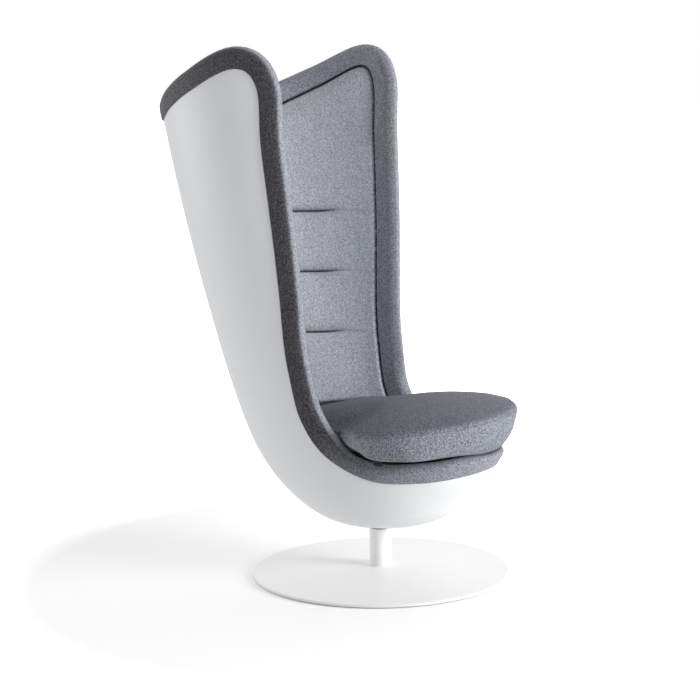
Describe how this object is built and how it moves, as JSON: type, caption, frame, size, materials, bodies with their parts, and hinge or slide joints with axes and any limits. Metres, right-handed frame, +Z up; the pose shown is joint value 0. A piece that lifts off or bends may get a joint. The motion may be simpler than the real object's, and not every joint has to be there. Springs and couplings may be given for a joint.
{
  "type": "pod chair",
  "caption": "Tall swivel pod chair: moulded shell with a felt lining, thick rounded rim pad, quilted back pad and loose seat cushion, on a short column and round base plate.",
  "frame": {"origin": "centre of the base plate's floor face, on the swivel axis", "axes": "+Z up along the swivel axis, -Y to the front of the seat, +X to the sitter's left"},
  "size_m": [0.743, 0.9792, 1.4303],
  "materials": {
    "white_shell": "satin moulded shell",
    "white_metal": "satin powder coat",
    "grey_felt": "melange wool felt",
    "dark_felt": "needle felt",
    "black_tape": "woven tape",
    "birch": "plywood",
    "stained_birch": "plywood stained dark",
    "steel": "zinc plated",
    "black_plastic": "moulded",
    "liner_plastic": "moulded"
  },
  "bodies": {
    "base": {"floor_mat": "dark_felt", "base_plate": "white_metal", "base_screws": "steel", "foot_plug": "steel", "column_tube": "white_metal", "lower_bush": "black_plastic", "upper_bush": "black_plastic", "thrust_washer": "steel"},
    "pod": {"spindle": "steel", "retaining_washer": "steel", "retaining_nut": "steel", "shell_grommet": "black_plastic", "pod_shell": "white_shell", "foot_block": "birch", "swivel_plate": "steel", "plate_screws": "steel", "top_washer": "steel", "spindle_nut": "steel", "seat_pedestal": "birch", "seat_deck": "stained_birch", "deck_screws": "steel", "deck_felt": "dark_felt", "inner_liner": "liner_plastic", "liner_buffers": "black_plastic", "back_pad": "grey_felt", "rim_pad": "grey_felt"},
    "cushion": {"seat_cushion": "grey_felt", "cushion_tag": "black_tape"}
  },
  "joints": [
    {"name": "swivel", "type": "hinge", "parent": "base", "child": "pod", "pos_m": [0, 0, 0], "axis": [0, 0, 1], "continuous": true},
    {"name": "cushion_lift", "type": "slide", "parent": "pod", "child": "cushion", "axis": [0, 0, 1], "range_m": [0, 0.25]}
  ]
}
